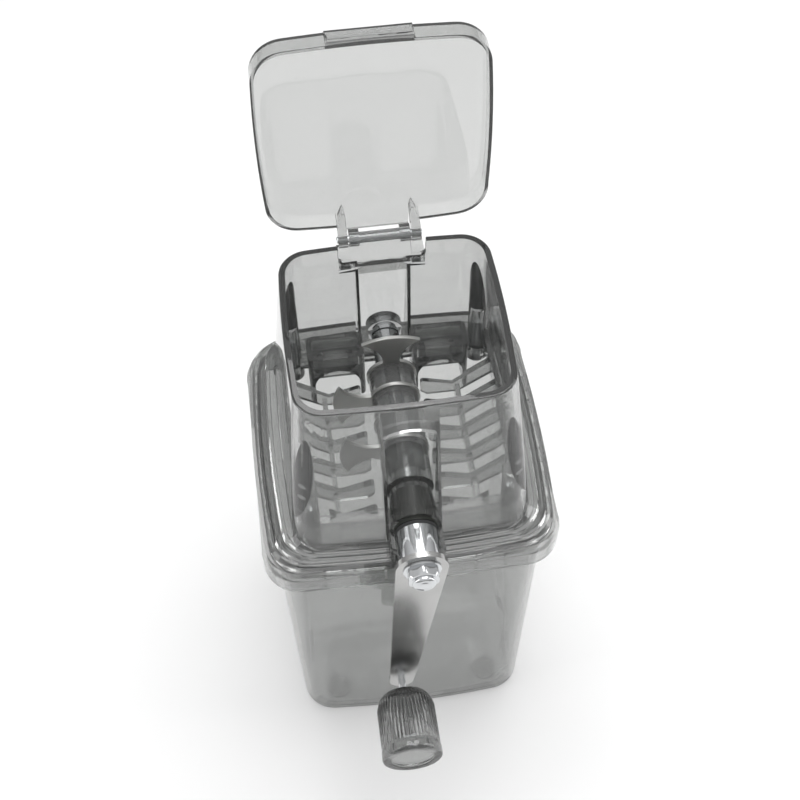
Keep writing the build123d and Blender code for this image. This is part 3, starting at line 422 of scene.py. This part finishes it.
# ---- Operators ----
class ICECRUSHER_OT_stage(bpy.types.Operator):
    """Makes the floor, the soft lamps, the room and the camera"""

    bl_idname = "icecrusher.stage"
    bl_label = "Stage"

    def execute(self, context):
        settings = context.scene.ice_crusher_stage
        scene = context.scene
        scene.view_settings.view_transform = "Standard"
        scene.cycles.max_bounces = LIGHT_BOUNCES
        scene.cycles.transmission_bounces = LIGHT_BOUNCES
        scene.cycles.transparent_max_bounces = LIGHT_BOUNCES
        mesh = bpy.data.meshes.new("floor")
        corners = [(x * FLOOR_HALF, y * FLOOR_HALF, 0) for x, y in ((-1, -1), (1, -1), (1, 1), (-1, 1))]
        mesh.from_pydata(corners, [], [(0, 1, 2, 3)])
        mesh.materials.append(studio_paper("matt_studio_paper", settings))
        new_object("floor", mesh)
        self.room(scene)
        lamps = (
            ("key_lamp", (0.1, 0.25, 1.25), (0.9, 0.7), settings.key_power),
            ("left_lamp", (-0.95, -0.15, 0.55), (0.35, 0.9), settings.side_power),
            ("right_lamp", (0.95, -0.05, 0.5), (0.35, 0.9), settings.side_power),
        )
        for name, place, size, power in lamps:
            data = bpy.data.lights.new(name, "AREA")
            data.shape = "RECTANGLE"
            data.size, data.size_y = size
            data.energy = power
            lamp = bpy.data.objects.new(name, data)
            scene.collection.objects.link(lamp)
            lamp.location = place
            lamp.rotation_euler = (LAMP_AIM - lamp.location).to_track_quat("-Z", "Y").to_euler()
        self.camera(scene, settings)
        return {"FINISHED"}

    @staticmethod
    def room(scene):
        """A pale room that is darker towards the horizon, so the chrome has something to mirror."""
        world = bpy.data.worlds.new("studio_room")
        scene.world = world
        world.use_nodes = True
        tree = world.node_tree
        tree.nodes.clear()
        points = add_node(tree, "ShaderNodeTexCoord")
        height = add_node(tree, "ShaderNodeSeparateXYZ", {0: points.outputs["Generated"]})
        level = between(tree, height.outputs["Z"], 0.3, 0.9)
        shade = add_node(tree, "ShaderNodeBackground", {"Color": rgba(srgb("#FFFFFF")), "Strength": level})
        add_node(tree, "ShaderNodeOutputWorld", {"Surface": shade.outputs[0]})

    @staticmethod
    def camera(scene, settings):
        """A camera above and in front, looking down into the open hopper."""
        data = bpy.data.cameras.new("camera")
        data.lens = settings.lens
        data.sensor_width = 36.0
        camera = bpy.data.objects.new("camera", data)
        scene.collection.objects.link(camera)
        forward = CAMERA_FORWARD.normalized()
        right = forward.cross(CAMERA_UP).normalized()
        up = right.cross(forward)
        camera.matrix_world = Matrix.Translation(CAMERA_PLACE) @ Matrix((
            (right.x, up.x, -forward.x), (right.y, up.y, -forward.y), (right.z, up.z, -forward.z),
        )).to_4x4()
        scene.camera = camera


class ICECRUSHER_OT_plastic(bpy.types.Operator):
    """Finishes the container, hopper housing, lid, grate and spacers in smoke plastic"""

    bl_idname = "icecrusher.plastic"
    bl_label = "Plastic housings"

    def execute(self, context):
        settings = context.scene.ice_crusher_plastic
        pieces = (
            ("moulded_smoke_san_lid", settings.lid_density, settings.clarity, ("lid", "knob_end_cap")),
            ("moulded_smoke_san_hopper", settings.hopper_density, settings.clarity, ("hopper_housing",)),
            ("moulded_smoke_san_container", settings.container_density, settings.clarity, ("container_tub",)),
            ("moulded_smoke_san_grate", settings.grate_density, settings.clarity, ("ice_grate",)),
            ("moulded_smoke_san_spacer", settings.spacer_density, settings.spacer_clarity,
             ("spacer_1", "spacer_2", "spacer_3", "front_spacer")),
        )
        for material_name, density, clarity, names in pieces:
            material = smoke_plastic(material_name, settings, density, clarity)
            for name in names:
                finish_node(name, material)
        return {"FINISHED"}


class ICECRUSHER_OT_metal(bpy.types.Operator):
    """Finishes the rotor, the crank and the bearings"""

    bl_idname = "icecrusher.metal"
    bl_label = "Metal parts"

    def execute(self, context):
        settings = context.scene.ice_crusher_metal
        chrome = chrome_plate("bright_chrome_plate", settings)
        for name in ("crank_ferrule", "knob_pin", "rear_bush", "rear_collar", "hinge_pin",
                     "drive_shaft", "grate_screws"):
            finish_node(name, chrome)
        arm = (settings.arm, settings.arm_bright)
        blade = (settings.steel, settings.steel_bright)
        # material, way of the brush lines, roughness, depth of the lines, colours, pieces
        steels = (
            ("polished_stainless_arm", (0, -self.arm_angle(), 0), 0.2, 0.06, arm, ("crank_arm",)),
            ("brushed_stainless_blade", (0, 0, 0), 0.3, 0.2, blade, ("blade_1", "blade_3")),
            ("brushed_stainless_blade_level", (0, pi / 2, 0), 0.3, 0.2, blade, ("blade_2", "blade_4")),
        )
        for material_name, turn, rough, line_depth, colours, names in steels:
            material = brushed_steel(material_name, settings, turn, rough, line_depth, colours)
            for name in names:
                finish_node(name, material)
        finish_node("front_bush", turned_acetal("turned_dark_acetal", settings))
        finish_node("front_seal", moulded_rubber("moulded_black_nitrile", settings))
        return {"FINISHED"}

    @staticmethod
    def arm_angle():
        """How far the crank arm leans from straight down."""
        lean = JOINT_PLACE["knob_spin"] - JOINT_PLACE["crank_turn"]
        return Vector((lean.z, lean.x)).angle_signed(Vector((-1, 0)))


class ICECRUSHER_OT_nut(bpy.types.Operator):
    """Makes the domed nut that holds the crank: a flange, a chamfered hexagon and a polished dome"""

    bl_idname = "icecrusher.nut"
    bl_label = "Domed nut"

    STEPS = 96
    SHARP_ANGLE = pi / 7

    def execute(self, context):
        settings = context.scene.ice_crusher_nut
        low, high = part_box("crank_nut")
        flange = (high.x - low.x) / 2
        rings, tip_y = self.profile(settings, flange, high.y)
        mesh = self.turned_mesh(settings.across_flats / 2, rings, tip_y)
        mesh.materials.append(chrome_plate("bright_chrome_nut", context.scene.ice_crusher_metal))
        for polygon in mesh.polygons:
            polygon.use_smooth = True
        mesh.set_sharp_from_angle(angle=self.SHARP_ANGLE)
        nut = new_object("crank_nut_domed", mesh)
        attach(nut, "crank")
        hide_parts("crank_nut")
        return {"FINISHED"}

    @staticmethod
    def profile(settings, flange, back):
        """The nut's rings from the arm to the dome as (radius, y, is hexagonal), and the y of its tip."""
        flat = settings.across_flats / 2
        dome = settings.dome
        flange_front = back - settings.flange_thickness
        hexagon_front = flange_front - settings.hexagon_length
        # the hexagon's corners are turned down so that they stay on the flange
        corner = min(flat * 1.12, flange - 0.6 * MM)
        dome_back = hexagon_front - 0.3 * MM
        rings = [
            (flange - 0.3 * MM, back, False), (flange, back - 0.3 * MM, False),
            (flange, flange_front + 0.4 * MM, False), (flange - 0.4 * MM, flange_front, False),
            (corner, flange_front, True), (corner, hexagon_front + 1.2 * MM, True),
            (flat + 0.1 * MM, hexagon_front + 0.3 * MM, True), (dome + 0.8 * MM, hexagon_front, False),
            (dome + 0.25 * MM, hexagon_front, False), (dome, dome_back, False),
        ]
        arcs = 24
        for i in range(1, arcs):
            share = i / arcs
            groove = settings.ring_depth * max(0.0, cos(4 * pi * share)) * sin(pi * share)
            rise = settings.dome_rise * sin(pi / 2 * share) ** 0.7 - groove
            rings.append((dome * cos(pi / 2 * share), dome_back - rise, False))
        return rings, dome_back - settings.dome_rise

    @classmethod
    def turned_mesh(cls, flat, rings, tip_y):
        """A closed mesh through the rings about the nut's axis; hexagonal ones are cut by six flats."""
        centre = JOINT_PLACE["crank_turn"]
        steps = cls.STEPS
        work = bmesh.new()
        loops = []
        for radius, y, hexagonal in rings:
            loop = []
            for step in range(steps):
                angle = 2 * pi * step / steps
                off_flat = (angle + pi / 6) % (pi / 3) - pi / 6
                reach = min(radius, flat / cos(off_flat)) if hexagonal else radius
                loop.append(work.verts.new((centre.x + reach * cos(angle), y, centre.z + reach * sin(angle))))
            loops.append(loop)
        for near, far in zip(loops, loops[1:]):
            for step in range(steps):
                after = (step + 1) % steps
                work.faces.new((near[step], near[after], far[after], far[step]))
        work.faces.new(loops[0])
        tip = work.verts.new((centre.x, tip_y, centre.z))
        for step in range(steps):
            work.faces.new((loops[-1][step], loops[-1][(step + 1) % steps], tip))
        bmesh.ops.recalc_face_normals(work, faces=work.faces)
        mesh = bpy.data.meshes.new("crank_nut_domed")
        work.to_mesh(mesh)
        work.free()
        return mesh


class ICECRUSHER_OT_knob(bpy.types.Operator):
    """Makes the ribbed knob"""

    bl_idname = "icecrusher.knob"
    bl_label = "Ribbed knob"

    PLAIN_BAND = 5.0 * MM
    STEPS_PER_RIB = 8
    BORE = 1.85 * MM
    BOSS = 4.2 * MM

    def execute(self, context):
        settings = context.scene.ice_crusher_knob
        low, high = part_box("knob_grip")
        cap_low, cap_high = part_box("knob_end_cap")
        centre = JOINT_PLACE["knob_spin"]
        window = (cap_high.x - cap_low.x) / 2
        ring = low.y + self.PLAIN_BAND
        section = self.section((high.x - low.x) / 2, window, ring, (low.y, high.y), cap_high.y)
        mesh = lathe_mesh("knob_grip_ribbed", section, centre, settings.ribs * self.STEPS_PER_RIB)
        blank = new_object("knob_blank", mesh)
        plastic = context.scene.ice_crusher_plastic
        material = smoke_plastic("moulded_smoke_san_knob", plastic, plastic.knob_density, plastic.clarity)
        tree = self.rib_tree()
        modifier = blank.modifiers.new("ribs", "NODES")
        modifier.node_group = tree
        values = {
            "Ribs": settings.ribs, "Rib depth": settings.rib_depth, "Axis": tuple(centre),
            "Rib start": ring + 1.2 * MM, "Rib end": high.y - 7.5 * MM, "Least radius": 11.6 * MM,
            "Material": material,
        }
        for item in tree.interface.items_tree:
            if item.name in values:
                modifier[item.identifier] = values[item.name]
        knob = frozen(blank, "knob_grip_ribbed")
        for polygon in knob.data.polygons:
            polygon.use_smooth = True
        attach(knob, "knob")
        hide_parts("knob_grip")
        return {"FINISHED"}

    @classmethod
    def section(cls, radius, window, ring, ends, cap_y):
        """The knob's section: round shoulder, plain band, window seat, then the hollow and its boss."""
        front, back = ends
        shoulder = [(r * MM, back - depth * MM) for r, depth in (
            (6.6, 0), (7.0, 0.3), (10.0, 1.5), (11.8, 3.6), (12.7, 6.2), (12.95, 8.0),
        )]
        band = [
            (radius - 0.3 * MM, ring + 1.2 * MM), (radius - 0.55 * MM, ring + 0.3 * MM),
            (radius - 0.15 * MM, ring), (radius, ring - 0.5 * MM), (radius, front + 1.2 * MM),
            (radius - 0.25 * MM, front + 0.5 * MM), (radius - 0.9 * MM, front + 0.05 * MM),
            (radius - 1.3 * MM, front),
        ]
        seat = [
            (window + 0.5 * MM, front), (window + 0.12 * MM, front + 0.15 * MM),
            (window, front + 0.5 * MM), (window, cap_y), (10.8 * MM, cap_y + 1.2 * MM),
        ]
        hollow = [
            (10.2 * MM, back - 6.5 * MM), (8.6 * MM, back - 4.6 * MM), (cls.BOSS, back - 4.0 * MM),
            (cls.BOSS, front + 10 * MM), (cls.BORE, front + 10 * MM),
        ]
        return [(cls.BORE, back), *shoulder, *band, *seat, *hollow]

    @staticmethod
    def rib_tree():
        """Ribs along a turned piece: points on its outside move in and out with the angle about the axis."""
        tree = bpy.data.node_groups.new("knob_ribs", "GeometryNodeTree")
        sockets = (
            ("Ribs", "NodeSocketInt"), ("Rib depth", "NodeSocketFloat"), ("Axis", "NodeSocketVector"),
            ("Rib start", "NodeSocketFloat"), ("Rib end", "NodeSocketFloat"),
            ("Least radius", "NodeSocketFloat"), ("Material", "NodeSocketMaterial"),
        )
        tree.interface.new_socket("Geometry", in_out="INPUT", socket_type="NodeSocketGeometry")
        for name, kind in sockets:
            tree.interface.new_socket(name, in_out="INPUT", socket_type=kind)
        tree.interface.new_socket("Geometry", in_out="OUTPUT", socket_type="NodeSocketGeometry")
        given = add_node(tree, "NodeGroupInput").outputs

        def maths(operation, *values):
            return add_node(tree, "ShaderNodeMath", dict(enumerate(values)), operation=operation).outputs[0]

        def vectors(operation, *values):
            return add_node(tree, "ShaderNodeVectorMath", dict(enumerate(values)), operation=operation)

        place = add_node(tree, "GeometryNodeInputPosition")
        arm = vectors("SUBTRACT", place.outputs[0], given["Axis"]).outputs[0]
        flat = vectors("MULTIPLY", arm, (1, 0, 1)).outputs[0]
        reach = vectors("LENGTH", flat).outputs["Value"]
        away = vectors("NORMALIZE", flat).outputs[0]
        parts = add_node(tree, "ShaderNodeSeparateXYZ", {0: arm})
        along = add_node(tree, "ShaderNodeSeparateXYZ", {0: place.outputs[0]}).outputs["Y"]
        angle = maths("ARCTAN2", parts.outputs["Z"], parts.outputs["X"])
        wave = maths("COSINE", maths("MULTIPLY", angle, given["Ribs"]))
        height = maths("MULTIPLY", maths("MULTIPLY", maths("SUBTRACT", wave, 0.45), 0.5), given["Rib depth"])
        inside = maths("MULTIPLY", maths("GREATER_THAN", along, given["Rib start"]),
                       maths("LESS_THAN", along, given["Rib end"]))
        chosen = maths("MULTIPLY", inside, maths("GREATER_THAN", reach, given["Least radius"]))
        shift = add_node(tree, "ShaderNodeVectorMath", {
            0: away, "Scale": maths("MULTIPLY", height, chosen),
        }, operation="SCALE")
        moved = add_node(tree, "GeometryNodeSetPosition", {
            "Geometry": given["Geometry"], "Offset": shift.outputs[0],
        })
        real = add_node(tree, "GeometryNodeRealizeInstances", {0: moved.outputs[0]})
        finished = add_node(tree, "GeometryNodeSetMaterial", {
            "Geometry": real.outputs[0], "Material": given["Material"],
        })
        add_node(tree, "NodeGroupOutput", {0: finished.outputs[0]})
        return tree


OPERATORS = (
    ICECRUSHER_OT_stage,
    ICECRUSHER_OT_plastic,
    ICECRUSHER_OT_metal,
    ICECRUSHER_OT_nut,
    ICECRUSHER_OT_knob,
)
SETTINGS = {
    "ice_crusher_plastic": IceCrusherPlastic,
    "ice_crusher_metal": IceCrusherMetal,
    "ice_crusher_nut": IceCrusherNut,
    "ice_crusher_knob": IceCrusherKnob,
    "ice_crusher_stage": IceCrusherStage,
}


class ICECRUSHER_PT_panel(bpy.types.Panel):
    """Sizes, colours and steps of the ice crusher"""

    bl_idname = "ICECRUSHER_PT_panel"
    bl_label = "Ice crusher"
    bl_space_type = "VIEW_3D"
    bl_region_type = "UI"
    bl_category = "Ice crusher"

    def draw(self, context):
        for name in SETTINGS:
            group = getattr(context.scene, name)
            box = self.layout.box()
            for prop in group.bl_rna.properties:
                if prop.identifier not in ("rna_type", "name"):
                    box.prop(group, prop.identifier)
        for operator in OPERATORS:
            self.layout.operator(operator.bl_idname)


def register():
    """Registers the settings, the operators and the panel."""
    for name, group in SETTINGS.items():
        bpy.utils.register_class(group)
        setattr(bpy.types.Scene, name, PointerProperty(type=group))
    for operator in OPERATORS:
        bpy.utils.register_class(operator)
    bpy.utils.register_class(ICECRUSHER_PT_panel)


def unregister():
    """Removes what register added."""
    bpy.utils.unregister_class(ICECRUSHER_PT_panel)
    for operator in reversed(OPERATORS):
        bpy.utils.unregister_class(operator)
    for name, group in SETTINGS.items():
        delattr(bpy.types.Scene, name)
        bpy.utils.unregister_class(group)


def main():
    """Builds the whole scene: registers the add-on and runs each of its operators in turn."""
    register()
    for operator in OPERATORS:
        group, step = operator.bl_idname.split(".")
        getattr(getattr(bpy.ops, group), step)()


if __name__ == "__main__":
    main()
